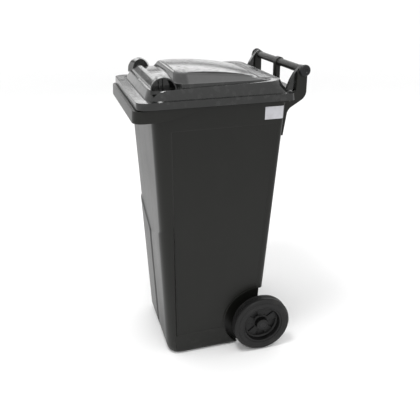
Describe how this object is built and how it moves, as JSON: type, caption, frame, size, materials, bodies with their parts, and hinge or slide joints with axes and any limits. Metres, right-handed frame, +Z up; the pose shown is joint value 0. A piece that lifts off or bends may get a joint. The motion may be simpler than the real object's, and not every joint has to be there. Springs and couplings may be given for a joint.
{
  "type": "wheelie bin",
  "caption": "Upright tapered waste bin with a domed hinged lid, side-opening lid grips, a rear grip bar, a front comb lip and wheels on a fixed rear axle.",
  "frame": {"origin": "on the ground, below the middle of the bin's overall width and depth", "axes": "+Z up, -Y towards the comb lip at the front, +Y towards the grip bar and wheels, X across the bin along the axle"},
  "size_m": [0.48, 0.534, 0.967],
  "materials": {
    "container_plastic": "dark grey moulded polyethylene, fine satin grain",
    "lid_plastic": "dark grey moulded polyethylene, glossy",
    "pin_plastic": "black moulded plastic",
    "axle_steel": "zinc plated drawn steel",
    "washer_zinc": "zinc plated pressed steel",
    "tyre_rubber": "solid black rubber",
    "hub_plastic": "black moulded polypropylene",
    "bush_nylon": "natural nylon",
    "cap_plastic": "black moulded plastic",
    "label_film": "white printed-film label, blank"
  },
  "bodies": {
    "container": {"tub": "container_plastic", "rim_and_comb": "container_plastic", "rear_handle": "container_plastic", "id_label": "label_film", "axle": "axle_steel", "hinge_pin_left": "pin_plastic", "inner_washer_left": "washer_zinc", "outer_washer_left": "washer_zinc", "retaining_cap_left": "cap_plastic", "hinge_pin_right": "pin_plastic", "inner_washer_right": "washer_zinc", "outer_washer_right": "washer_zinc", "retaining_cap_right": "cap_plastic"},
    "lid": {"lid": "lid_plastic"},
    "wheel_left": {"tyre_left": "tyre_rubber", "wheel_hub_left": "hub_plastic", "hub_bush_inner_left": "bush_nylon", "hub_bush_outer_left": "bush_nylon"},
    "wheel_right": {"tyre_right": "tyre_rubber", "wheel_hub_right": "hub_plastic", "hub_bush_inner_right": "bush_nylon", "hub_bush_outer_right": "bush_nylon"}
  },
  "joints": [
    {"name": "lid_hinge", "type": "hinge", "parent": "container", "child": "lid", "pos_m": [0, 0.25, 0.95], "axis": [-1, 0, 0], "range_deg": [0, 270]},
    {"name": "wheel_spin_left", "type": "hinge", "parent": "container", "child": "wheel_left", "pos_m": [-0.208, 0.134, 0.1], "axis": [1, 0, 0], "continuous": true},
    {"name": "wheel_spin_right", "type": "hinge", "parent": "container", "child": "wheel_right", "pos_m": [0.208, 0.134, 0.1], "axis": [1, 0, 0], "continuous": true}
  ]
}
